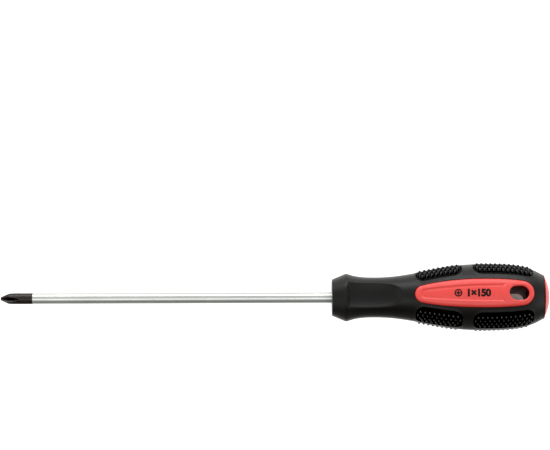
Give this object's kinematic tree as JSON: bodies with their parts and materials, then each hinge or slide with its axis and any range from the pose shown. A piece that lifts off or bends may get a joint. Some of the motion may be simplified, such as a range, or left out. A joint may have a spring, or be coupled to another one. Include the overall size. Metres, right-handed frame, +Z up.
{
  "type": "screwdriver",
  "caption": "Cross-tip screwdriver with a long round shank and a hard-core handle in a soft studded grip with smooth inlaid panels and a hang hole.",
  "frame": {"origin": "centre of the blade tip's flat end, on the tool's axis", "axes": "+X along the blade towards the handle, +Z out of the front panel with the hang hole running along Z, +Y to the left seen from the tip end looking at the handle with +Z up"},
  "size_m": [0.2485, 0.0298, 0.0302],
  "materials": {
    "blade_steel": "satin chrome plate on the shank, black phosphate on the tip",
    "inner_core_plastic": "natural moulded",
    "red_plastic": "semi-gloss moulded",
    "grip_rubber": "matte soft-touch moulded",
    "stud_rubber": "semi-gloss studded",
    "print_ink": "pad-printed size mark on the front panel, shown in the visual model only"
  },
  "bodies": {
    "root": {"blade": "blade_steel", "inner_core": "inner_core_plastic", "handle_core": "red_plastic", "front_panel": "red_plastic", "back_panel": "red_plastic", "end_cap": "red_plastic", "grip_sleeve": "grip_rubber", "stud_pad_front_front_left": "stud_rubber", "stud_pad_rear_front_left": "stud_rubber", "stud_pad_front_back_left": "stud_rubber", "stud_pad_rear_back_left": "stud_rubber", "stud_pad_front_back_right": "stud_rubber", "stud_pad_rear_back_right": "stud_rubber", "stud_pad_front_front_right": "stud_rubber", "stud_pad_rear_front_right": "stud_rubber"}
  },
  "joints": []
}
